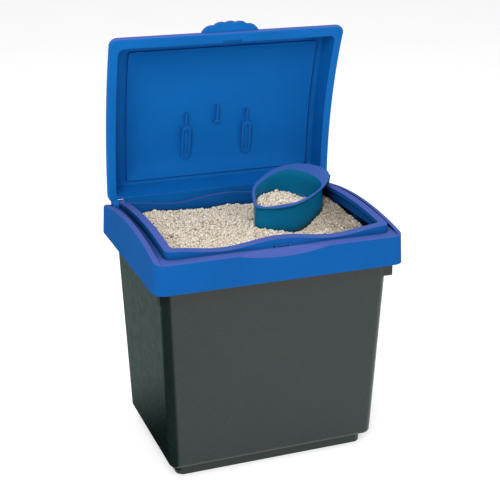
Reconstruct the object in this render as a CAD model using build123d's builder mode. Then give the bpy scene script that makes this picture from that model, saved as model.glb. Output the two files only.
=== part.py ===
"""Grit bin: tapered tub, clip-on collar, hinged domed lid, hand scoop and the load of grit.

Millimetres, +Z up.  The origin is the centre of the foot's underside on the floor, +X is the bin's
right-hand side seen from the front and -Y is its front.  The lid is drawn standing open.
"""
from build123d import *
import os
from math import cos, exp, pi, radians, sin

# --- Driving dimensions -------------------------------------------------------------------------
skirt_width = 430.0          # collar, over its lower edge
skirt_depth = 338.0
skirt_bottom = 351.0         # height of the collar's lower edge above the floor
skirt_corner = 20.0
skirt_rear_corner = 7.0
skirt_draft = 3.0            # degrees
wall = 3.5                   # moulded wall of the collar and the tub

arch_mid = 420.0             # side rails: an arch over the depth, highest over the middle
arch_edge = 400.0
deck_mid = 411.0             # channel floor and front ledge: a flatter arch
deck_edge = 399.5
bead_inner = 203.0           # half width between the outer rail beads

# plan frames are (half width, front, rear, corner radius)
lip_plan = (192.0, -150.0, 120.0, 10.0)      # raised lip round the mouth
mouth_plan = (179.0, -137.0, 108.0, 6.0)
lip_wave_pitch = 190.0       # the lip's front and back tops roll in a wave
lip_wave = 4.5
lip_corner_top = 415.5
lip_arch = 10.0
mouth_wall = 7.0             # how far the mouth's wall hangs below the lip's top

tub_floor = 20.0
tub_rim = 381.0
tub_base_half = (185.0, 130.0)
tub_rim_half = (199.2, 144.2)
tub_corner = 16.0
foot_inset = 14.0
foot_corner = 14.0
rim_flange = 5.5

hinge_y = 136.0
hinge_z = 406.7
lid_open = 80.0              # degrees open as drawn; 0 is shut
lid_plan = (209.0, -305.0, 14.0, 14.0)       # from the hinge axis
lid_edge = 12.0              # thickness of the rim band
lid_wall = 3.0
lid_recess = 47.0            # depth of the groove that runs round under the dome
panel_rise = 43.0            # depth at the panel's raised border
panel_crown = 18.0           # extra rise of the panel over its middle
lid_seat_gap = 0.5

pin_radius = 4.0
pin_clearance = 0.08
cheek_radius = 9.0
cheek_span = (180.5, 192.4)  # distances from the middle plane
ear_span = (193.2, 202.2)
ear_radius = 11.0

scoop_depth = 56.0
scoop_wall = 2.5
scoop_center = (86.6, 45.0, 433.2)           # on the rim's plane
scoop_turn = 12.0            # degrees, long axis away from +X
scoop_slope = (0.04, 0.42)   # rise of the rim per millimetre along +X and along +Y
load_gap = 1.0               # grit kept clear of the walls round it

half_depth = skirt_depth / 2
os.makedirs("parts", exist_ok=True)


# --- Shared shapes ------------------------------------------------------------------------------
def inset(plan, amount):
    """Plan frame drawn in by amount on every side."""
    half, front, rear, corner = plan
    return (half - amount, front + amount, rear - amount, max(corner - amount, 1.0))


def plan_rectangle(plan, mode=Mode.ADD):
    half, front, rear, corner = plan
    with Locations((0, (front + rear) / 2)):
        RectangleRounded(2 * half, rear - front, corner, mode=mode)


def side_plane(frame):
    """The frame seen from its right: x runs back, y runs up."""
    return Plane(origin=frame.origin, x_dir=frame.y_dir, z_dir=frame.x_dir)


def profile_line(mid, edge, center):
    """Arc over the depth, at height mid over the centre and edge half a skirt depth away from it."""
    span = 1.2 * half_depth
    if mid == edge:
        return Line((center - span, mid), (center + span, mid))
    low = mid - (mid - edge) * 1.2**2
    return ThreePointArc((center - span, low), (center, mid), (center + span, low))


def arched_block(frame, plan, low, high, center=0.0, taper=0.0):
    """Rounded block between two arches, each given as its heights (mid, edge)."""
    base = low[0] if low[0] == low[1] else low[1] - 30.0
    with BuildPart() as block:
        with BuildSketch(frame.offset(base)):
            plan_rectangle(plan)
        extrude(amount=high[0] - base + 5.0, taper=taper)
        with BuildSketch(side_plane(frame)):
            with BuildLine():
                top = profile_line(*high, center)
                bottom = profile_line(*low, center)
                Line(top @ 0, bottom @ 0)
                Line(top @ 1, bottom @ 1)
            make_face()
        extrude(amount=2 * plan[0], both=True, mode=Mode.INTERSECT)
    return block.part


def lens(frame, half_length, radius):
    """Lemon-shaped solid along the frame's x axis: a smooth finger hollow with no ends."""
    with BuildPart() as lemon:
        with BuildSketch(frame):
            with BuildLine():
                ThreePointArc((-half_length, 0), (0, radius), (half_length, 0))
                Line((-half_length, 0), (half_length, 0))
            make_face()
        revolve(axis=Axis(frame.origin, frame.x_dir))
    return lemon.part


def block(x_span, y_span, z_span, mode=Mode.ADD):
    """Box between three pairs of limits, added to the part being built."""
    sizes = [high - low for low, high in (x_span, y_span, z_span)]
    with Locations(tuple((low + high) / 2 for low, high in (x_span, y_span, z_span))):
        Box(*sizes, mode=mode)


def mirrored_spans(low, high):
    """The same span on the right and on the left of the middle plane."""
    return ((low, high), (-high, -low))


# --- Tub ----------------------------------------------------------------------------------------
def tub_half(height):
    """Half width and half depth of the tub's outside at a height."""
    rise = (height - tub_floor) / (tub_rim - tub_floor)
    return tuple(low + rise * (high - low) for low, high in zip(tub_base_half, tub_rim_half))


def tapered_block(low, high, gap, corner):
    """Block that follows the tub's draft between two heights, drawn in by gap."""
    with BuildPart() as block:
        for height in (low, high):
            half_x, half_y = tub_half(height)
            with BuildSketch(Plane.XY.offset(height)):
                RectangleRounded(2 * (half_x - gap), 2 * (half_y - gap), corner)
        loft()
    return block.part


foot_half = (tub_base_half[0] - foot_inset, tub_base_half[1] - foot_inset)
lug_height = (skirt_bottom - 29.0, skirt_bottom + 3.0)
right_lug = ((186.0, 206.0), (-141.0, -129.0), lug_height)
left_lug = ((-200.5, -190.0), (-130.0, -124.0), lug_height)      # a mere rib on this side

with BuildPart() as tub:
    add(tapered_block(tub_floor, tub_rim, 0.0, tub_corner))
    fillet(tub.faces().sort_by(Axis.Z)[0].edges(), 9.0)
    with BuildSketch(Plane.XY):
        RectangleRounded(2 * foot_half[0], 2 * foot_half[1], foot_corner)
    extrude(amount=tub_floor + 2.0)
    fillet(tub.faces().sort_by(Axis.Z)[0].edges(), 2.5)
    with BuildSketch(Plane.XY.offset(tub_rim - wall)):
        RectangleRounded(2 * (tub_rim_half[0] + rim_flange), 2 * (tub_rim_half[1] + rim_flange), 18.0)
    extrude(amount=wall)
    block(*right_lug)
    block(*left_lug)
    add(tapered_block(tub_floor + wall, tub_rim + 1.0, wall, tub_corner - wall), mode=Mode.SUBTRACT)
    with BuildSketch(Plane.XY.offset(wall)):
        RectangleRounded(2 * (foot_half[0] - wall), 2 * (foot_half[1] - wall), foot_corner - wall)
    extrude(amount=tub_floor, mode=Mode.SUBTRACT)
tub.part.label = "tub"
export_step(tub.part, "parts/tub.step")


# --- Collar -------------------------------------------------------------------------------------
ring_top = 440.0             # above every point of the lip
above_reach = 70.0           # thickness of the cutters that lie above a curved top


def lip_top(x, y):
    """Height of the lip's top: arched along the sides, waved along the front and the back."""
    middle = (lip_plan[1] + lip_plan[2]) / 2
    along = (y - middle) / ((lip_plan[2] - lip_plan[1]) / 2)
    wave = cos(2 * pi * x / lip_wave_pitch) - 1
    return lip_corner_top + lip_arch * (1 - along**2) + lip_wave * wave


def above_lip(drop):
    """Everything above the lip's top surface lowered by drop."""
    steps_x = [-210 + 10 * i for i in range(43)]
    steps_y = [-180 + 20 * i for i in range(17)]
    grid = [[Vector(x, y, lip_top(x, y) - drop) for y in steps_y] for x in steps_x]
    surface = Face.make_surface_from_array_of_points(grid)
    return extrude(surface, amount=above_reach, dir=(0, 0, 1))


def lip_ring(outer, inner, bottom, drop):
    """Ring between two plan frames, from a height up to the lip's top lowered by drop."""
    with BuildPart() as band:
        with BuildSketch(Plane.XY.offset(bottom)):
            plan_rectangle(outer)
            plan_rectangle(inner, mode=Mode.SUBTRACT)
        extrude(amount=ring_top - bottom)
        add(above_lip(drop), mode=Mode.SUBTRACT)
    return band.part


skirt_plan = (skirt_width / 2, -half_depth, half_depth, skirt_corner)
channel_plan = (bead_inner, -200.0, 200.0, 1.0)
bead_round = 4.5
lip_round = 3.0
shelf_bottom = 383.0
shelf_front = lip_plan[2] - wall
trough_floor = 387.0
trough_half_width = 202.7
trough_rear = 155.5
finger_half_length = 175.0
finger_radius = 40.0
finger_frame = Plane(origin=(0, -182.5, 428), x_dir=(1, 0, 0), z_dir=(0, -1, 0))
side_rib_places = (-115.0, -25.0, 65.0)
front_rib_places = (-130.0, 130.0)
rear_rib_places = (-130.0, -45.0, 45.0, 130.0)
rib = 3.0
hook_length = 24.0
hook_height = 4.5
catch_center = (3.0, lip_plan[1], 404.0)
catch_size = (28.0, 4.0, 2.6)
catch_bead = (2.6, 5.4)      # radius and length of the beads at its ends
lip_bottom = 396.0
apron_half_width = 179.0
apron_bottom = 381.0
lid_stop = ((158.0, 165.0), (395.0, 407.5))  # depth and height of the stops that the open lid leans on


def deck_height(y):
    return deck_mid - (deck_mid - deck_edge) * (y / half_depth)**2


def skirt_hollow():
    """Space inside the skirt, kept a wall's thickness away from the finger hollow."""
    with BuildPart() as hollow:
        add(arched_block(Plane.XY, inset(skirt_plan, wall), (skirt_bottom - 1.0,) * 2,
                         (deck_mid - wall, deck_edge - wall), taper=skirt_draft))
        add(lens(finger_frame, finger_half_length + 8.0, finger_radius + wall), mode=Mode.SUBTRACT)
    return hollow.part


def rear_apron():
    """Wall that hangs from the lip along the back of the mouth, down to the grit."""
    with BuildPart() as apron:
        block((-apron_half_width, apron_half_width), (mouth_plan[2], mouth_plan[2] + wall),
              (apron_bottom, ring_top))
        add(above_lip(wall / 2), mode=Mode.SUBTRACT)
    return apron.part


with BuildPart() as collar:
    # skirt and arched rails
    for plan in (skirt_plan, (skirt_width / 2, 0.0, half_depth, skirt_rear_corner)):
        add(arched_block(Plane.XY, plan, (skirt_bottom,) * 2, (arch_mid, arch_edge), taper=skirt_draft))
    fillet(collar.faces().sort_by(Axis.Z)[-1].edges(), bead_round)
    add(arched_block(Plane.XY, channel_plan, (deck_mid, deck_edge), (470.0, 470.0)), mode=Mode.SUBTRACT)
    add(lens(finger_frame, finger_half_length, finger_radius), mode=Mode.SUBTRACT)
    add(skirt_hollow(), mode=Mode.SUBTRACT)
    # shelf behind the mouth, with a trough that the lid's rear edge turns in
    add(arched_block(Plane.XY, (205.0, shelf_front, 166.0, 1.0), (shelf_bottom,) * 2, (deck_mid, deck_edge)))
    block((-trough_half_width, trough_half_width), (lip_plan[2] + 1.0, trough_rear), (trough_floor, 430.0),
          mode=Mode.SUBTRACT)
    block((-200.0, 200.0), (trough_rear + wall, trough_rear + 2 * wall), (shelf_bottom - 5.0, 395.0),
          mode=Mode.SUBTRACT)
    for span in mirrored_spans(166.0, 187.0):
        block(span, *lid_stop)
    # raised lip: an upturned channel whose inner wall hangs into the mouth
    add(lip_ring(lip_plan, mouth_plan, lip_bottom, 0.0))
    with BuildSketch(Plane.XY.offset(skirt_bottom)):
        plan_rectangle(mouth_plan)
    extrude(amount=100.0, mode=Mode.SUBTRACT)
    add(lip_ring(inset(lip_plan, wall), inset(mouth_plan, -wall), skirt_bottom, wall), mode=Mode.SUBTRACT)
    add(lip_ring(inset(lip_plan, wall), mouth_plan, skirt_bottom, mouth_wall), mode=Mode.SUBTRACT)
    add(rear_apron())
    # hinge cheeks, standing in the trough
    for start in (cheek_span[0], -cheek_span[1]):
        with BuildSketch(Plane.YZ.offset(start)):
            with Locations((hinge_y, hinge_z)):
                Circle(cheek_radius)
            with Locations((hinge_y, (hinge_z + trough_floor) / 2 - 1)):
                Rectangle(2 * cheek_radius, hinge_z - trough_floor + 2)
            with Locations((hinge_y, hinge_z)):
                Circle(pin_radius, mode=Mode.SUBTRACT)
        extrude(amount=cheek_span[1] - cheek_span[0])
    # ribs that stand on the tub's rim
    for y in side_rib_places:
        for span in mirrored_spans(lip_plan[0] - wall, bead_inner + 5.0):
            block(span, (y, y + rib), (tub_rim, deck_height(y) - 1.0))
    for x in front_rib_places:
        block((x, x + rib), (-163.0, lip_plan[1] + wall), (tub_rim, deck_edge))
    for x in rear_rib_places:
        block((x, x + rib), (shelf_front, 150.0), (tub_rim, shelf_bottom + 1.0))
    # hooks that snap under the tub's rim flange
    hook_span = (tub_rim - wall - 0.3 - hook_height, tub_rim - wall - 0.3)
    for place in (-70.0, 70.0):
        along = (place - hook_length / 2, place + hook_length / 2)
        for span in mirrored_spans(tub_rim_half[0] + 3.0, 211.0):
            block(span, along, hook_span)
        for span in mirrored_spans(tub_rim_half[1] + 3.0, 165.5):
            block(along, span, hook_span)
    # small catch rib on the lip's front face
    with Locations(catch_center):
        Box(*catch_size)
        with Locations((2 - catch_size[0] / 2, 0, 0), (catch_size[0] / 2 - 2, 0, 0)):
            Cylinder(*catch_bead, rotation=(90, 0, 0))
collar.part.label = "collar"
export_step(collar.part, "parts/collar.step")


# --- Hinge pins ---------------------------------------------------------------------------------
pin_span = (cheek_span[0], ear_span[1] - 0.4)
for name, start in (("hinge_pin_right", pin_span[0]), ("hinge_pin_left", -pin_span[1])):
    with BuildPart() as pin:
        with BuildSketch(Plane.YZ.offset(start)):
            with Locations((hinge_y, hinge_z)):
                Circle(pin_radius)
        extrude(amount=pin_span[1] - pin_span[0])
        chamfer(pin.edges(), 0.5)
    pin.part.label = name
    export_step(pin.part, f"parts/{name}.step")


# --- Lid ----------------------------------------------------------------------------------------
lid_angle = radians(lid_open)
lid_frame = Plane(origin=(0, hinge_y, hinge_z), x_dir=(1, 0, 0), z_dir=(0, sin(lid_angle), cos(lid_angle)))
lid_axis = Axis(lid_frame.origin, lid_frame.z_dir)
lid_center = -hinge_y
lid_band_round = 3.5
dome_round = 11.0
lid_draft = 2.0
recess_plan = (196.5, -288.5, -10.0, 13.0)
panel_plan = (173.0, -262.0, -20.5, 5.0)
panel_shift = 9.0            # the panel and its clips sit a little to the right
panel_frame = Plane(origin=(panel_shift, hinge_y, hinge_z), x_dir=(1, 0, 0), z_dir=lid_frame.z_dir)
panel_power = 10             # the higher, the flatter the panel's middle and the steeper its border
lid_main_plan = (lid_plan[0], lid_plan[1], -3.0, lid_plan[3])
ear_band_plan = (ear_span[1], -60.0, lid_plan[2], 4.0)
cheek_notch = 6.0            # room left round the collar's hinge cheeks
notch_shift = 5.0

column_base = 25.0           # height in the lid's frame, inside the dome's low ring
column_height = 85.0
grid_overrun = 1.03          # how far the panel's surface runs past its border

clip_places = (-58.5, 57.5)  # from the panel's middle
clip_half_width = 9.0
clip_span = (-109.5, -43.5)  # along the lid, from the hinge axis
clip_face = 66.0             # height of the clips' faces in the lid's frame
clip_slot = (9.0, 50.0, 2.5)
stem_size = (3.2, 24.0)
center_rib = (-0.5, -128.5)
center_rib_size = (3.4, 31.0)
center_foot_size = (10.0, 4.0)
standing_height = 30.0       # more than enough to reach the panel

# (distance from the middle plane, reach past the lid's front edge) of each scallop of the finger tab
tab_lobes = ((0.0, 17.5), (16.5, 16.5), (-16.5, 16.5), (33.0, 11.5), (-33.0, 11.5))
tab_lobe_radius = 19.0
tab_thickness = 5.5
tab_root = 10.0              # how far the tab reaches into the rim band
catch_relief = (34.0, 3.4, 2.5)                          # width, depth and height of the pocket for the catch


def lid_heights(rise):
    """Heights (mid, edge) in the lid's frame of an arch that runs rise above the rails."""
    seat = lid_seat_gap + rise - hinge_z
    return (arch_mid + seat, arch_edge + seat)


def lid_block(plan, low, high, taper=0.0, frame=lid_frame):
    return arched_block(frame, plan, low, high, center=lid_center, taper=taper)


def panel_height(x, y):
    """Height of the panel's inner face, x from the panel's middle: a flat-topped pillow on the lid's arch."""
    mid, edge = lid_heights(panel_rise)
    arch = mid - (mid - edge) * ((y - lid_center) / half_depth)**2
    across = x / panel_plan[0]
    along = (2 * y - panel_plan[1] - panel_plan[2]) / (panel_plan[2] - panel_plan[1])
    return arch + panel_crown * (1 - across**panel_power) * (1 - along**panel_power)


def panel_block(plan, lift):
    """Column over a plan frame, up to the panel's inner face raised by lift."""
    half, middle = panel_plan[0], (panel_plan[1] + panel_plan[2]) / 2
    half_length = (panel_plan[2] - panel_plan[1]) / 2
    shares = [i / 16 * grid_overrun for i in range(-16, 17)]
    grid = [[panel_frame.from_local_coords(Vector(half * u, middle + half_length * v,
                                                  panel_height(half * u, middle + half_length * v) + lift))
             for v in shares] for u in shares]
    with BuildPart() as column:
        with BuildSketch(panel_frame.offset(column_base)):
            plan_rectangle(plan)
        extrude(amount=column_height)
        add(extrude(Face.make_surface_from_array_of_points(grid), amount=column_height, dir=lid_frame.z_dir),
            mode=Mode.SUBTRACT)
    return column.part


def lid_dome():
    """Outside of the dome: a low ring with the pillow-shaped panel standing in it."""
    with BuildPart() as dome:
        add(lid_block(inset(recess_plan, -lid_wall), lid_heights(1.0), lid_heights(lid_recess + lid_wall),
                      lid_draft))
        fillet(dome.faces().sort_by(lid_axis)[-1].edges(), dome_round)
        add(panel_block(inset(panel_plan, -lid_wall), lid_wall))
    return dome.part


def lid_recess_space():
    """Space under the dome, less the clips and the rib that stand on the panel."""
    with BuildPart() as space:
        add(lid_block(recess_plan, lid_heights(-20.0), lid_heights(lid_recess), lid_draft))
        fillet(space.faces().sort_by(lid_axis)[-1].edges(), dome_round - lid_wall)
        add(lid_block(panel_plan, lid_heights(panel_rise), lid_heights(lid_recess + 1.0), frame=panel_frame),
            mode=Mode.SUBTRACT)
        add(panel_block(panel_plan, 0.0))
        clip_middle = sum(clip_span) / 2
        for x in clip_places:
            with BuildSketch(panel_frame.offset(clip_face)):
                with Locations((x, clip_middle)):
                    SlotOverall(clip_span[1] - clip_span[0], 2 * clip_half_width, rotation=90)
            extrude(amount=standing_height, mode=Mode.SUBTRACT)
            with BuildSketch(panel_frame.offset(clip_face - 1.0)):
                with Locations((x, clip_middle)):
                    SlotOverall(clip_slot[1], clip_slot[0], rotation=90)
            extrude(amount=clip_slot[2] + 1.0)
            with BuildSketch(panel_frame.offset(clip_face + 2.0)):
                with Locations((x, clip_span[0] - stem_size[1] / 2 + 1.0)):
                    Rectangle(*stem_size)
            extrude(amount=standing_height, mode=Mode.SUBTRACT)
        with BuildSketch(panel_frame.offset(clip_face + 1.0)):
            with Locations(center_rib):
                Rectangle(*center_rib_size)
            with Locations((center_rib[0], center_rib[1] + center_rib_size[1] / 2)):
                Rectangle(*center_foot_size)
        extrude(amount=standing_height, mode=Mode.SUBTRACT)
    return space.part


with BuildPart() as lid:
    add(lid_block(lid_main_plan, lid_heights(0.0), lid_heights(lid_edge)))
    band_faces = lid.faces().sort_by(lid_axis)
    fillet(band_faces[0].edges() + band_faces[-1].edges(), lid_band_round)
    add(lid_block(ear_band_plan, lid_heights(0.0), lid_heights(lid_edge)))
    add(lid_dome())
    add(lid_recess_space(), mode=Mode.SUBTRACT)
    # pocket that clears the collar's catch when the lid is shut
    with BuildSketch(lid_frame.offset(-20.0)):
        with Locations((catch_center[0], recess_plan[1] + 1.0)):
            Rectangle(catch_relief[0], 2 * catch_relief[1])
    extrude(amount=20.0 + catch_relief[2], mode=Mode.SUBTRACT)
    # notches for the collar's cheeks, then the ears with their pin holes
    for span in mirrored_spans(cheek_span[0] - 0.8, ear_span[0]):
        with BuildSketch(lid_frame.offset(-30.0)):
            with Locations(((span[0] + span[1]) / 2, notch_shift)):
                Rectangle(span[1] - span[0], 2 * (cheek_radius + cheek_notch))
        extrude(amount=60.0, mode=Mode.SUBTRACT)
    for start in (ear_span[0], -ear_span[1]):
        with BuildSketch(side_plane(lid_frame).offset(start)):
            Circle(ear_radius)
        extrude(amount=ear_span[1] - ear_span[0])
        with BuildSketch(side_plane(lid_frame).offset(start)):
            Circle(pin_radius + pin_clearance)
        extrude(amount=ear_span[1] - ear_span[0], mode=Mode.SUBTRACT)
    # scalloped finger tab on the front edge
    tab_top = lid_heights(lid_edge)[1]
    with BuildSketch(lid_frame.offset(tab_top - tab_thickness)):
        for x, reach in tab_lobes:
            with Locations((x, lid_plan[1] - reach + tab_lobe_radius)):
                Circle(tab_lobe_radius)
        with Locations((0, lid_plan[1] + tab_root + tab_lobe_radius)):
            Rectangle(lid_plan[0], 2 * tab_lobe_radius, mode=Mode.SUBTRACT)
    extrude(amount=tab_thickness)
lid.part.label = "lid"
export_step(lid.part, "parts/lid.step")


# --- Scoop --------------------------------------------------------------------------------------
turn = radians(scoop_turn)
rise_along = scoop_slope[0] * cos(turn) + scoop_slope[1] * sin(turn)
rim_plane = Plane(origin=scoop_center, x_dir=(cos(turn), sin(turn), rise_along),
                  z_dir=(-scoop_slope[0], -scoop_slope[1], 1.0))
bowl_outline = ((-71, -10), (-62, 6), (-49, 25), (-25, 38), (8, 48), (34, 47), (53, 36), (66, 18),
                (72, -6), (68, -20), (55, -29), (24, -38), (-4, -41), (-34, -35), (-59, -28), (-69, -19))
flange_outline = ((-74, -14), (-66, 5), (-50, 28), (-24, 44), (4, 54), (30, 57), (60, 51), (82, 37), (96, 19),
                  (98, 6), (90, -7), (73, -21), (52, -31), (25, -40), (-4, -44), (-38, -39), (-62, -29))
# (depth below the rim, size of the section there)
bowl_sections = ((0.0, 1.0), (28.0, 0.99), (44.0, 0.95), (51.0, 0.88), (scoop_depth, 0.76))
section_middle = (5.0, 0.0)       # sections are scaled about this point of the rim plane
straight_down = rim_plane.to_local_coords(Vector(scoop_center) - Vector(0, 0, 1))
section_lean = (-straight_down.X / straight_down.Z, -straight_down.Y / straight_down.Z)
flange_thickness = 3.0
grip_place = (94.0, 6.0, 0.0)
grip_size = (20.0, 4.0, 22.0)


def grown(outline, growth):
    """Outline points moved outwards by growth; the outline runs clockwise."""
    moved = []
    for i, (u, v) in enumerate(outline):
        before, after = outline[i - 1], outline[(i + 1) % len(outline)]
        along = (after[0] - before[0], after[1] - before[1])
        length = (along[0]**2 + along[1]**2)**0.5
        moved.append((u - growth * along[1] / length, v + growth * along[0] / length))
    return moved


def bowl(growth, depth_change=0.0):
    """Closed solid in the bowl's shape, its walls moved out by growth and its bottom down by depth_change."""
    with BuildPart() as solid:
        for depth, size in bowl_sections:
            section = [tuple(middle + size * (place - middle) + lean * depth
                             for place, middle, lean in zip(point, section_middle, section_lean))
                       for point in bowl_outline]
            with BuildSketch(rim_plane.offset(-depth * (1 + depth_change / scoop_depth))):
                with BuildLine():
                    Spline(*grown(section, growth), periodic=True)
                make_face()
        loft()
    return solid.part


with BuildPart() as scoop:
    with BuildSketch(rim_plane):
        with BuildLine():
            Spline(*flange_outline, periodic=True)
        make_face()
    extrude(amount=-flange_thickness)
    add(bowl(0.0))
    add(bowl(-scoop_wall, -scoop_wall), mode=Mode.SUBTRACT)
    with BuildSketch(Plane(origin=rim_plane.from_local_coords(grip_place), x_dir=rim_plane.y_dir,
                           z_dir=rim_plane.z_dir)):
        Rectangle(grip_size[0], grip_size[1])
    extrude(amount=-grip_size[2])
scoop.part.label = "scoop"
export_step(scoop.part, "parts/scoop.step")


# --- Grit ---------------------------------------------------------------------------------------
load_level = 376.0           # height of the grit at the front of the mouth
load_slope_start = -10.0     # behind this line the grit rises to the back
load_back_rise = 20.0
load_left_rise = 4.0
load_right_rise = 18.0       # heaped under the lip on the right
load_right_start = 110.0
load_dip = (105.0, 2.0, 38.0, 32.0, 13.0)    # hollow before the scoop: its middle, half spans and depth
load_shoulder = 380.0        # below this height the grit reaches the tub's walls
load_shelf = 395.0           # below this height it reaches under the lip
under_lip_plan = (187.5, -140.0, 107.0, 6.0)
scoop_load_level = 418.0


def load_top(x, y):
    """Height of the grit's surface: lumpy, rising to the back and to the left."""
    lumps = 2.0 * sin(x / 23.0 + 1.0) * cos(y / 19.0) + 1.2 * sin(x / 11.0 + y / 13.0)
    back = max(0.0, (y - load_slope_start) / (mouth_plan[2] - load_slope_start))
    right = max(0.0, (x - load_right_start) / (mouth_plan[0] - load_right_start))
    middle_x, middle_y, span_x, span_y, depth = load_dip
    dip = depth * exp(-((x - middle_x) / span_x)**2 - ((y - middle_y) / span_y)**2)
    slope = load_back_rise * back + load_right_rise * right - load_left_rise * x / mouth_plan[0]
    return load_level + slope + lumps - dip


def above_load():
    steps = [-200 + 12 * i for i in range(34)]
    grid = [[Vector(x, y, load_top(x, y)) for y in steps] for x in steps]
    return extrude(Face.make_surface_from_array_of_points(grid), amount=80.0, dir=(0, 0, 1))


with BuildPart() as grit_fill:
    add(tapered_block(tub_floor + wall + load_gap, load_shoulder, wall + load_gap, tub_corner - wall))
    foot_gap = wall + load_gap
    with BuildSketch(Plane.XY.offset(foot_gap)):
        RectangleRounded(2 * (foot_half[0] - foot_gap), 2 * (foot_half[1] - foot_gap), foot_corner - foot_gap)
    extrude(amount=tub_floor)
    with BuildSketch(Plane.XY.offset(load_shoulder - 5.0)):
        plan_rectangle(under_lip_plan)
    extrude(amount=load_shelf - load_shoulder + 5.0)
    with BuildSketch(Plane.XY.offset(load_shoulder - 5.0)):
        plan_rectangle(inset(mouth_plan, load_gap))
    extrude(amount=40.0)
    add(above_load(), mode=Mode.SUBTRACT)
    add(bowl(load_gap, load_gap), mode=Mode.SUBTRACT)
grit_fill.part.label = "grit_fill"
export_step(grit_fill.part, "parts/grit_fill.step")

with BuildPart() as scoop_grit:
    add(bowl(-scoop_wall - 0.4, -scoop_wall - 0.4))
    with BuildSketch(Plane.XY.offset(scoop_load_level)):
        with Locations(scoop_center[:2]):
            Rectangle(300.0, 300.0)
    extrude(amount=100.0, mode=Mode.SUBTRACT)
scoop_grit.part.label = "scoop_grit"
export_step(scoop_grit.part, "parts/scoop_grit.step")
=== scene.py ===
"""Looks of the grit bin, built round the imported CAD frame.  Metres, in the frame's own axes."""
import math

import bpy
import numpy as np
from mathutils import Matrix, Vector
from mathutils.bvhtree import BVHTree


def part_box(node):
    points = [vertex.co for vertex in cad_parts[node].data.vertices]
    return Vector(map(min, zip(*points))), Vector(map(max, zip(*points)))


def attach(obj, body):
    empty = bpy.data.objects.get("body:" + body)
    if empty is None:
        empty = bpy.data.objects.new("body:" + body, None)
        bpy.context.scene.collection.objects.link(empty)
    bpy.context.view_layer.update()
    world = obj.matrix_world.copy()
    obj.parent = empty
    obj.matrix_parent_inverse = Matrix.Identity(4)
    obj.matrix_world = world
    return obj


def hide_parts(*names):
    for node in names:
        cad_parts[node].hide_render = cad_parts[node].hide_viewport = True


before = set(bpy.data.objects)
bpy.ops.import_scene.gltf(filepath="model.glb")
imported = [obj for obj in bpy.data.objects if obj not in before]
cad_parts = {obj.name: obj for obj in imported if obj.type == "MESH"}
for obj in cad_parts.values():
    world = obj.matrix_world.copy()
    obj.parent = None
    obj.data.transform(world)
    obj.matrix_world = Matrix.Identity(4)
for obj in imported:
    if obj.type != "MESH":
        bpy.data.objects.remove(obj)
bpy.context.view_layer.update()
MM = 0.001


# --- Node materials -----------------------------------------------------------------------------
MIX_INPUTS = (0, 6, 7)       # share and the two colours, on a Mix node set to colours
MIX_OUTPUT = 2
SHADER_SAMPLES = 6
EDGE_GAIN = 3.0              # makes edges() 1 where rounded and flat normal have a cosine of two thirds


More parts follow.
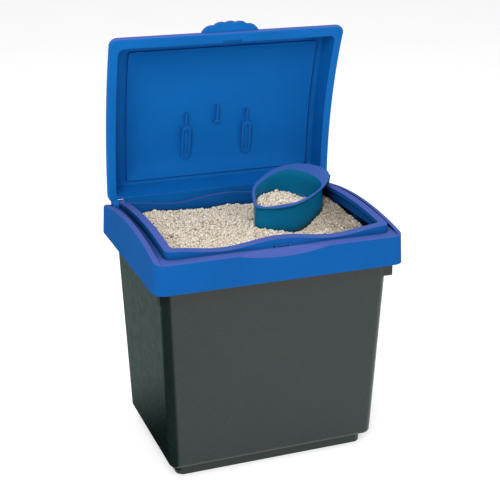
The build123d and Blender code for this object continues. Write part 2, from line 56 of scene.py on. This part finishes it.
class Shader:
    """A new node material with a Principled surface, and short calls that add and wire nodes."""

    def __init__(self, name):
        self.material = bpy.data.materials.new(name)
        self.material.use_nodes = True
        self.tree = self.material.node_tree
        self.tree.nodes.clear()
        self.surface = self.add("ShaderNodeBsdfPrincipled")
        output = self.add("ShaderNodeOutputMaterial")
        self.wire(self.surface.outputs["BSDF"], output.inputs["Surface"])
        coordinates = self.add("ShaderNodeTexCoord")
        self.place, self.normal = coordinates.outputs["Object"], coordinates.outputs["Normal"]

    def add(self, kind, **settings):
        """New node; each setting is an input's value if the node has such an input, else a property."""
        node = self.tree.nodes.new(kind)
        for key, value in settings.items():
            if key in node.inputs:
                node.inputs[key].default_value = value
            else:
                setattr(node, key, value)
        return node

    def wire(self, source, target):
        self.tree.links.new(source, target)

    def feed(self, value, socket):
        """Wire a node's output to the socket, or set the socket to a number or a colour."""
        if isinstance(value, bpy.types.NodeSocket):
            self.wire(value, socket)
        elif isinstance(value, tuple):
            socket.default_value = (*value, 1.0)
        else:
            socket.default_value = value

    def set(self, **values):
        """Inputs of the surface, with an underscore for each space in their names."""
        for key, value in values.items():
            self.feed(value, self.surface.inputs[key.replace("_", " ")])

    def noise(self, scale, detail=2.0, roughness=0.5):
        node = self.add("ShaderNodeTexNoise", Scale=scale, Detail=detail, Roughness=roughness)
        self.wire(self.place, node.inputs["Vector"])
        return node.outputs["Fac"]

    def cells(self, scale):
        """Distance to the middle of the nearest cell."""
        node = self.add("ShaderNodeTexVoronoi", feature="F1", Scale=scale)
        self.wire(self.place, node.inputs["Vector"])
        return node.outputs["Distance"]

    def ramp(self, source, stops):
        """Colour ramp over source: stops are (position, (r, g, b)) or (position, grey)."""
        node = self.add("ShaderNodeValToRGB")
        elements = node.color_ramp.elements
        while len(elements) < len(stops):
            elements.new(1.0)
        for element, (position, colour) in zip(elements, stops):
            element.position = position
            rgb = colour if isinstance(colour, tuple) else (colour,) * 3
            element.color = (*rgb, 1.0)
        self.wire(source, node.inputs["Fac"])
        return node.outputs["Color"]

    def mix(self, share, first, second, blend="MIX"):
        """Colour that goes from first to second as share goes from 0 to 1."""
        node = self.add("ShaderNodeMix", data_type="RGBA", blend_type=blend)
        for value, socket in zip((share, first, second), (node.inputs[i] for i in MIX_INPUTS)):
            self.feed(value, socket)
        return node.outputs[MIX_OUTPUT]

    def multiply(self, first, second):
        return self.mix(1.0, first, second, "MULTIPLY")

    def math(self, operation, first, second):
        node = self.add("ShaderNodeMath", operation=operation)
        self.feed(first, node.inputs[0])
        self.feed(second, node.inputs[1])
        return node.outputs[0]

    def step(self, source, low, high):
        """0 where source is below low, 1 where it is above high, smooth between."""
        spread = self.add("ShaderNodeMapRange", interpolation_type="SMOOTHSTEP")
        self.wire(source, spread.inputs["Value"])
        spread.inputs["From Min"].default_value = low
        spread.inputs["From Max"].default_value = high
        return spread.outputs["Result"]

    def part(self, vector, axis):
        """One component of a vector; axis is "X", "Y" or "Z"."""
        parts = self.add("ShaderNodeSeparateXYZ")
        self.wire(vector, parts.inputs[0])
        return parts.outputs[axis]

    def openness(self, distance):
        """1 on open surfaces, less in corners and cavities narrower than distance."""
        return self.add("ShaderNodeAmbientOcclusion", samples=SHADER_SAMPLES, Distance=distance).outputs["AO"]

    def rounded_normal(self, radius):
        return self.add("ShaderNodeBevel", Radius=radius, samples=SHADER_SAMPLES).outputs["Normal"]

    def edges(self, radius):
        """1 on sharp edges, 0 on flat surfaces."""
        normal = self.add("ShaderNodeNewGeometry").outputs["Normal"]
        compare = self.add("ShaderNodeVectorMath", operation="DOT_PRODUCT")
        self.wire(self.rounded_normal(radius), compare.inputs[0])
        self.wire(normal, compare.inputs[1])
        return self.math("MULTIPLY", self.math("SUBTRACT", 1.0, compare.outputs["Value"]), EDGE_GAIN)

    def bump(self, height, distance, normal=None):
        node = self.add("ShaderNodeBump", Distance=distance, Strength=1.0)
        self.wire(height, node.inputs["Height"])
        if normal is not None:
            self.wire(normal, node.inputs["Normal"])
        return node.outputs["Normal"]


DRIFT_SCALE = 9.0            # colour drift over a hand's width
DRIFT = ((0.3, 0.94), (0.7, 1.06))
CORNER_REACH = 30.0 * MM     # corners and cavities narrower than this are shaded
SHEEN_RISE = (0.30, 0.75)      # a surface whose normal rises more than this gets the painted sheen
SHEEN_OPEN = (0.30, 0.80)      # and only if it is this open
SHEEN_BLEND = 0.01            # height over which the painted sheen fades in
EDGE_HIGHLIGHT = 0.25             # most that a sharp edge takes of the sheen colour, as a painted highlight
SHADE_OPEN = (0.15, 0.75)   # openness at which the painted shade is full, and at which it ends
SCUFF_SCALE = 60.0
SCUFFS = ((0.35, -0.05), (0.75, 0.08))    # added to the roughness
GRAIN_SCALES = (1500.0, 700.0)            # fine speckle, and the cells between it
NO_SHEEN_LIMIT = -1.0         # below the whole object, so the painted sheen shows at any height


def moulded_plastic(name, colour, sheen_colour, roughness, edge_radius, grain, shine=0.5,
                    sheen_above=NO_SHEEN_LIMIT, corner_shade=0.0):
    """Injection-moulded plastic: soft colour drift, a painted sheen on rims that face up, a painted highlight
    on sharp edges, painted shade in corners and cavities, moulded grain. The rims take the painted sheen in
    sheen_colour above the height sheen_above; corner_shade is how dark the painted shade makes a deep corner."""
    s = Shader(name)
    base = s.multiply(colour, s.ramp(s.noise(DRIFT_SCALE, 3.0), DRIFT))
    opened = s.openness(CORNER_REACH)
    # Painted sheen: open surfaces that face up take the sheen colour, above the given height.
    sheen = s.math("MULTIPLY", s.step(s.part(s.normal, "Z"), *SHEEN_RISE), s.step(opened, *SHEEN_OPEN))
    sheen = s.math("MULTIPLY", sheen, s.step(s.part(s.place, "Z"), sheen_above, sheen_above + SHEEN_BLEND))
    base = s.mix(sheen, base, sheen_colour)
    # Painted highlight on sharp edges, in the sheen colour.
    base = s.mix(s.math("MINIMUM", s.edges(edge_radius), EDGE_HIGHLIGHT), base, sheen_colour)
    # Painted shade, darkest in deep corners and cavities.
    base = s.multiply(base, s.ramp(opened, [(SHADE_OPEN[0], 1.0 - corner_shade), (SHADE_OPEN[1], 1.0)]))
    scuffs = s.ramp(s.noise(SCUFF_SCALE, 4.0, 0.7), [(stop, roughness + more) for stop, more in SCUFFS])
    pattern = s.math("ADD", s.noise(GRAIN_SCALES[0], 1.0), s.cells(GRAIN_SCALES[1]))
    s.set(Base_Color=base, Roughness=scuffs, Specular_IOR_Level=shine,
          Normal=s.bump(pattern, grain, s.rounded_normal(edge_radius)))
    return s.material


# Colour of the blues' painted sheen and painted edge highlight, a reflection of the bright light overhead.
SHEEN_VIOLET = (0.065, 0.105, 0.36)
LID_SHEEN_FROM = 0.685              # the painted sheen shows on the open lid only above this height, at its edge that faces up
# One blue plastic in two copies: the collar's is painted darker and the lid's brighter, painted shade and
# painted light that even out how much light each gets.
collar_blue_shaded = moulded_plastic("collar_blue_shaded", (0.006, 0.090, 0.32), SHEEN_VIOLET, roughness=0.50,
                              edge_radius=1.6 * MM, grain=0.03 * MM, shine=0.008, corner_shade=0.92)
lid_blue_lit = moulded_plastic("lid_blue_lit", (0.004, 0.122, 0.41), SHEEN_VIOLET, roughness=0.50,
                           edge_radius=1.6 * MM, grain=0.03 * MM, shine=0.04, sheen_above=LID_SHEEN_FROM)
charcoal = moulded_plastic("charcoal", (0.006, 0.015, 0.013), (0.012, 0.020, 0.020), roughness=0.30,
                           edge_radius=1.5 * MM, grain=0.0012 * MM, shine=0.45)
teal = moulded_plastic("teal", (0.001, 0.130, 0.27), (0.040, 0.11, 0.38), roughness=0.42,
                       edge_radius=1.2 * MM, grain=0.02 * MM, shine=0.08, corner_shade=0.4)
black = moulded_plastic("pin_black", (0.02, 0.02, 0.022), (0.04, 0.04, 0.045), roughness=0.4,
                        edge_radius=0.4 * MM, grain=0.01 * MM)


# A grain's colour by its own random tone: a few dark ones, most pale, a few nearly white.
GRAIN_TONES = ((0.0, (0.30, 0.22, 0.15)), (0.05, (0.58, 0.47, 0.35)), (0.2, (0.80, 0.71, 0.58)),
               (0.6, (0.88, 0.80, 0.68)), (0.9, (0.94, 0.90, 0.81)))
DUST = ((0.35, 0.82), (0.7, 1.04))
DUST_SCALE = 900.0
# Painted shadow on the grit towards the bin's right, in patches: the grains' colour is multiplied by this.
RIGHT_SHADOW = (0.52, 0.50, 0.47)
RIGHT_SHADOW_FROM = (0.10, 0.17)     # x where the painted shadow on the grit begins and where it is full
SHADOW_PATCHES = (0.2, 0.5)
SHADOW_PATCH_SCALE = 25.0
PIT_SCALE = 2600.0
PIT_DEPTH = 0.25 * MM


def grit_material():
    """Dry mineral grains, each with its own tone and dust, with painted shadow in patches at the bin's right.
    """
    s = Shader("grit")
    tone = s.add("ShaderNodeAttribute", attribute_name="tone").outputs["Fac"]
    grains = s.multiply(s.ramp(tone, GRAIN_TONES), s.ramp(s.noise(DUST_SCALE, 3.0), DUST))
    right_shadow = s.math("MULTIPLY", s.step(s.part(s.place, "X"), *RIGHT_SHADOW_FROM),
                  s.step(s.noise(SHADOW_PATCH_SCALE, 3.0), *SHADOW_PATCHES))
    s.set(Base_Color=s.mix(right_shadow, grains, s.multiply(grains, RIGHT_SHADOW)), Roughness=0.85, IOR=1.45,
          Normal=s.bump(s.noise(PIT_SCALE, 2.0), PIT_DEPTH))
    return s.material


grit = grit_material()


def paint(obj, material):
    obj.data.materials.clear()
    obj.data.materials.append(material)


for node, finish in (("tub", charcoal), ("collar", collar_blue_shaded), ("lid", lid_blue_lit), ("scoop", teal),
                     ("hinge_pin_left", black), ("hinge_pin_right", black)):
    paint(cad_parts[node], finish)


# --- Grit ---------------------------------------------------------------------------------------
OUTSIDE = 0.05               # rays start this far above or below a load
BED_SHADE_TONE = 0.12              # painted shade: the grit between the grains is a little darker than they are


def tree_of(node):
    return BVHTree.FromObject(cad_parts[node], bpy.context.evaluated_depsgraph_get())


def cast(tree, x, y, start, direction):
    """Height where a vertical ray from start first meets the surface, or nan."""
    hit = tree.ray_cast(Vector((x, y, start)), Vector((0, 0, direction)))[0]
    return hit.z if hit else math.nan


class Heap:
    """The top and the bottom of a CAD load, read on a grid."""

    def __init__(self, node, step):
        self.tree = tree_of(node)
        low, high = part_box(node)
        self.low, self.high, self.step = low, high, step
        self.xs = np.arange(low.x + step / 2, high.x, step)
        self.ys = np.arange(low.y + step / 2, high.y, step)
        self.heights = self.read(high.z + OUTSIDE, -1)
        self.floor = self.read(low.z - OUTSIDE, 1)

    def read(self, start, direction):
        return np.array([[cast(self.tree, x, y, start, direction) for y in self.ys] for x in self.xs])


def closed_surface(name, heap):
    """Closed mesh between a heap's two height grids."""
    nx, ny = heap.heights.shape
    inside = ~np.isnan(heap.heights) & ~np.isnan(heap.floor)
    index = -np.ones((nx, ny), int)
    index[inside] = np.arange(inside.sum())
    count = inside.sum()
    xs, ys = np.meshgrid(heap.xs, heap.ys, indexing="ij")
    top = np.stack([xs[inside], ys[inside], heap.heights[inside]], -1)
    base = np.stack([xs[inside], ys[inside], heap.floor[inside]], -1)
    faces, walls = [], set()
    for i in range(nx - 1):
        for j in range(ny - 1):
            ring = [index[i, j], index[i + 1, j], index[i + 1, j + 1], index[i, j + 1]]
            if min(ring) < 0:
                continue
            faces.append(ring)
            faces.append([k + count for k in reversed(ring)])
            for a, b in zip(ring, ring[1:] + ring[:1]):
                if (b, a) in walls:
                    walls.remove((b, a))
                else:
                    walls.add((a, b))
    faces += [[b, a, a + count, b + count] for a, b in sorted(walls)]
    # The whole bed takes one darker grain tone, painted shade between the grains.
    return new_mesh(name, np.concatenate([top, base]), faces, np.full(2 * count, BED_SHADE_TONE))


def new_mesh(name, points, faces, tones=None):
    mesh = bpy.data.meshes.new(name)
    mesh.from_pydata([tuple(p) for p in points], [], faces)
    mesh.validate()
    mesh.update()
    if tones is not None:
        mesh.attributes.new("tone", "FLOAT", "POINT").data.foreach_set("value", tones.astype(np.float32))
    mesh.shade_smooth()
    obj = bpy.data.objects.new(name, mesh)
    bpy.context.scene.collection.objects.link(obj)
    return obj


# A stone is an icosahedron, its corners moved in or out and aside, then stretched along each axis.
GOLDEN = (1 + 5 ** 0.5) / 2
STONE_POINTS = np.array([(-1, GOLDEN, 0), (1, GOLDEN, 0), (-1, -GOLDEN, 0), (1, -GOLDEN, 0),
                         (0, -1, GOLDEN), (0, 1, GOLDEN), (0, -1, -GOLDEN), (0, 1, -GOLDEN),
                         (GOLDEN, 0, -1), (GOLDEN, 0, 1), (-GOLDEN, 0, -1), (-GOLDEN, 0, 1)])
STONE_POINTS /= math.sqrt(1 + GOLDEN**2)
STONE_RADII = (0.78, 1.16)
STONE_ASIDE = 0.07
STONE_STRETCH = ((0.8, 0.7, 0.55), (1.3, 1.05, 0.85))
STONE_FACES = np.array([(0, 11, 5), (0, 5, 1), (0, 1, 7), (0, 7, 10), (0, 10, 11), (1, 5, 9), (5, 11, 4),
                        (11, 10, 2), (10, 7, 6), (7, 1, 8), (3, 9, 4), (3, 4, 2), (3, 2, 6), (3, 6, 8),
                        (3, 8, 9), (4, 9, 5), (2, 4, 11), (6, 2, 10), (8, 6, 7), (9, 8, 1)])


def stone(rng):
    """Corners of an irregular crushed stone of about unit radius."""
    corners = STONE_POINTS * rng.uniform(*STONE_RADII, (len(STONE_POINTS), 1))
    corners = corners + rng.normal(0, STONE_ASIDE, STONE_POINTS.shape)
    return corners * rng.uniform(*STONE_STRETCH)


def turned(points, rng):
    """Points turned by a random rotation."""
    q = rng.normal(size=4)
    w, x, y, z = q / np.linalg.norm(q)
    spin = np.array([[1 - 2 * (y * y + z * z), 2 * (x * y - w * z), 2 * (x * z + w * y)],
                     [2 * (x * y + w * z), 1 - 2 * (x * x + z * z), 2 * (y * z - w * x)],
                     [2 * (x * z - w * y), 2 * (y * z + w * x), 1 - 2 * (x * x + y * y)]])
    return points @ spin.T


SHAPE_COUNT = 40
SIZE_SPREAD = 0.28           # of the logarithm of the radius
SEAT = 0.42                  # of the radius, from the heap's mean height to the stone's middle
CLEAR_RADII, CLEAR_GAP = 1.25, 0.6 * MM    # kept from the plastic: so much of the radius, and a gap
CAP_RISE, CAP_SINK = 0.8, 0.3    # the heap rises with a stone, a little less than the stone itself


def scatter(name, heap, tries, sizes, inside, clear_of, rng):
    """Stones dropped one after another on a heap, each resting on those under it.
    sizes are the least, the usual and the largest radius."""
    shapes = [stone(rng) for _ in range(SHAPE_COUNT)]
    points, faces, tones = [], [], []
    corner_count = len(STONE_POINTS)
    for _ in range(tries):
        radius = float(np.clip(rng.lognormal(math.log(sizes[1]), SIZE_SPREAD), sizes[0], sizes[2]))
        x = rng.uniform(heap.low.x + radius, heap.high.x - radius)
        y = rng.uniform(heap.low.y + radius, heap.high.y - radius)
        if not inside(x, y, radius):
            continue
        reach = max(1, round(radius / heap.step))
        i, j = int((x - heap.low.x) / heap.step), int((y - heap.low.y) / heap.step)
        area = (slice(max(i - reach, 0), i + reach + 1), slice(max(j - reach, 0), j + reach + 1))
        under = heap.heights[area]
        if np.isnan(under).any():
            continue
        z = float(under.mean()) + SEAT * radius
        centre = Vector((x, y, z))
        reserved = radius * CLEAR_RADII + CLEAR_GAP
        if any(tree.find_nearest(centre, reserved)[0] for tree in clear_of):
            continue
        shape = turned(shapes[rng.integers(len(shapes))], rng) * radius + np.array(centre)
        faces.append(STONE_FACES + corner_count * len(points))
        points.append(shape)
        tones.append(np.full(corner_count, rng.random()))
        gx, gy = np.meshgrid(heap.xs[area[0]] - x, heap.ys[area[1]] - y, indexing="ij")
        cap = z + CAP_RISE * np.sqrt(np.maximum(radius**2 - gx**2 - gy**2, 0)) - CAP_SINK * radius
        heap.heights[area] = np.where(gx**2 + gy**2 < radius**2, np.maximum(under, cap), under)
    obj = new_mesh(name, np.concatenate(points), np.concatenate(faces).tolist(), np.concatenate(tones))
    obj.data.shade_flat()
    paint(obj, grit)
    return obj


def in_mouth(x, y, radius):
    return (GRIT_AREA[0] + radius < x < GRIT_AREA[1] - radius
            and GRIT_AREA[2] + radius < y < GRIT_AREA[3] - radius)


def anywhere(x, y, radius):
    return True


def load_of_grit(heap, surface_name, grains_name, node, body, *grain_settings):
    """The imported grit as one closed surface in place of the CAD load, and loose grains on it."""
    surface = closed_surface(surface_name, heap)
    paint(surface, grit)
    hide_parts(node)
    for piece in (surface, scatter(grains_name, heap, *grain_settings)):
        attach(piece, body)


SEED = 11
FILL_STEP = 2.0 * MM
LOAD_STEP = 1.0 * MM
UNDER_SCOOP = 0.1            # rays start here, below the scoop, and go up
FILL_LAYER, LOAD_LAYER = 3.0 * MM, 1.0 * MM    # room left for the loose grains
SCOOP_GAP = 0.6 * MM
FILL_TRIES = 17000
LOAD_TRIES = 1300
FILL_SIZES = (1.0 * MM, 1.6 * MM, 4.4 * MM)
LOAD_SIZES = (1.1 * MM, 1.8 * MM, 3.0 * MM)
LOAD_BEND, LOAD_SLOPE = 0.085, 0.30    # the scoop's load falls away from this x, by this slope
THINNEST = 0.5 * MM          # thinner parts of the load are left out
GRIT_AREA = (-0.187, 0.187, -0.139, 0.107)    # x and y limits of the loose grains

rng = np.random.default_rng(SEED)
scoop_tree, collar_tree, tub_tree = tree_of("scoop"), tree_of("collar"), tree_of("tub")

fill = Heap("grit_fill", FILL_STEP)
for i, x in enumerate(fill.xs):
    for j, y in enumerate(fill.ys):
        under_scoop = cast(scoop_tree, x, y, UNDER_SCOOP, 1) - SCOOP_GAP
        if under_scoop < fill.heights[i, j]:
            fill.heights[i, j] = under_scoop
fill.heights -= FILL_LAYER
load_of_grit(fill, "grit_bed", "grit_grains", "grit_fill", "bin", FILL_TRIES, FILL_SIZES, in_mouth,
             (scoop_tree, collar_tree, tub_tree), rng)

load = Heap("scoop_grit", LOAD_STEP)
xs, ys = np.meshgrid(load.xs, load.ys, indexing="ij")
load.heights -= LOAD_LAYER + LOAD_SLOPE * np.maximum(xs - LOAD_BEND, 0.0)
load.heights[load.heights < load.floor + THINNEST] = math.nan
load_of_grit(load, "scoop_heap", "scoop_grains", "scoop_grit", "scoop", LOAD_TRIES, LOAD_SIZES, anywhere,
             (scoop_tree,), rng)


# --- Studio -------------------------------------------------------------------------------------
LOOK_AT = (0.0, 0.0, 0.35)
# Each softbox is a name, a place, the side of its square and a power.
SOFTBOXES = (("key", (-1.7, -2.4, 2.3), 1.4, 60.0),
             ("fill", (2.2, -2.4, 1.5), 1.6, 16.0),
             ("top", (0.0, 0.0, 3.0), 1.8, 30.0))
WORLD_STRENGTH = 0.55
FLOOR_HALF = 30.0
FLOOR_TONES = ((0.3, 0.86), (0.7, 0.88))
FLOOR_GLOW = 0.42
CARD_HALF = 3.0
CARD_EDGE = -0.175           # x of the card's side next to the bin
CARD_HEIGHT = 0.002
CARD_COLOUR = (0.74, 1.0, 0.97)
CARD_GLOW = 0.31
CARD_FADE = (0.02, 0.30)     # y where the card starts to glow and where it glows fully
AZIMUTH, ELEVATION = math.radians(-20.59), math.radians(19.92)
DISTANCE = 1.9933
AIM = (0.0, 0.0, 0.351)
SHIFT_RIGHT, SHIFT_DOWN = 0.0032, 0.0057    # of the camera, from the line through the aim
FOCAL_LENGTH, SENSOR = 83.34, 36.0


def softbox(name, place, side, power):
    light = bpy.data.lights.new(name, "AREA")
    light.shape, light.size, light.size_y = "RECTANGLE", side, side
    light.energy, light.color = power, (1.0, 1.0, 1.0)
    obj = bpy.data.objects.new(name, light)
    obj.location = place
    obj.rotation_mode = "QUATERNION"
    obj.rotation_quaternion = (Vector(LOOK_AT) - Vector(place)).to_track_quat("-Z", "Y")
    bpy.context.scene.collection.objects.link(obj)
    return obj


def sheet(name, left, right, half_depth, height):
    """One level rectangle."""
    corners = [(left, -half_depth, height), (right, -half_depth, height),
               (right, half_depth, height), (left, half_depth, height)]
    return new_mesh(name, corners, [(0, 1, 2, 3)])


def flag():
    """Dark card on the floor at the bin's left, which glows a little towards the back and is seen only
    in reflections."""
    card = sheet("flag", -CARD_HALF, CARD_EDGE, CARD_HALF, CARD_HEIGHT)
    s = Shader("flag")
    s.set(Base_Color=(0.0, 0.0, 0.0), Specular_IOR_Level=0.0, Emission_Color=CARD_COLOUR,
          Emission_Strength=s.math("MULTIPLY", CARD_GLOW, s.step(s.part(s.place, "Y"), *CARD_FADE)))
    paint(card, s.material)
    card.visible_camera = card.visible_diffuse = card.visible_shadow = False
    return card


def studio():
    floor = sheet("floor", -FLOOR_HALF, FLOOR_HALF, FLOOR_HALF, 0.0)
    s = Shader("pale_floor")
    s.set(Base_Color=s.ramp(s.noise(3.0), FLOOR_TONES), Roughness=0.9, Emission_Color=(1.0, 1.0, 1.0),
          Emission_Strength=FLOOR_GLOW)
    paint(floor, s.material)
    world = bpy.data.worlds.new("studio")
    world.use_nodes = True
    background = world.node_tree.nodes["Background"]
    background.inputs["Color"].default_value = (1.0, 1.0, 1.0, 1.0)
    background.inputs["Strength"].default_value = WORLD_STRENGTH
    bpy.context.scene.world = world
    flag()
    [softbox(*box) for box in SOFTBOXES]


def camera():
    back = Vector((math.sin(AZIMUTH) * math.cos(ELEVATION), -math.cos(AZIMUTH) * math.cos(ELEVATION),
                   math.sin(ELEVATION)))
    right = Vector((math.cos(AZIMUTH), math.sin(AZIMUTH), 0.0))
    up = back.cross(right)
    lens = bpy.data.cameras.new("camera")
    lens.lens, lens.sensor_width = FOCAL_LENGTH, SENSOR
    obj = bpy.data.objects.new("camera", lens)
    obj.location = Vector(AIM) + back * DISTANCE + right * SHIFT_RIGHT - up * SHIFT_DOWN
    obj.rotation_mode = "QUATERNION"
    obj.rotation_quaternion = (-back).to_track_quat("-Z", "Y")
    bpy.context.scene.collection.objects.link(obj)
    bpy.context.scene.camera = obj


studio()
camera()
bpy.context.scene.view_settings.view_transform = "Standard"
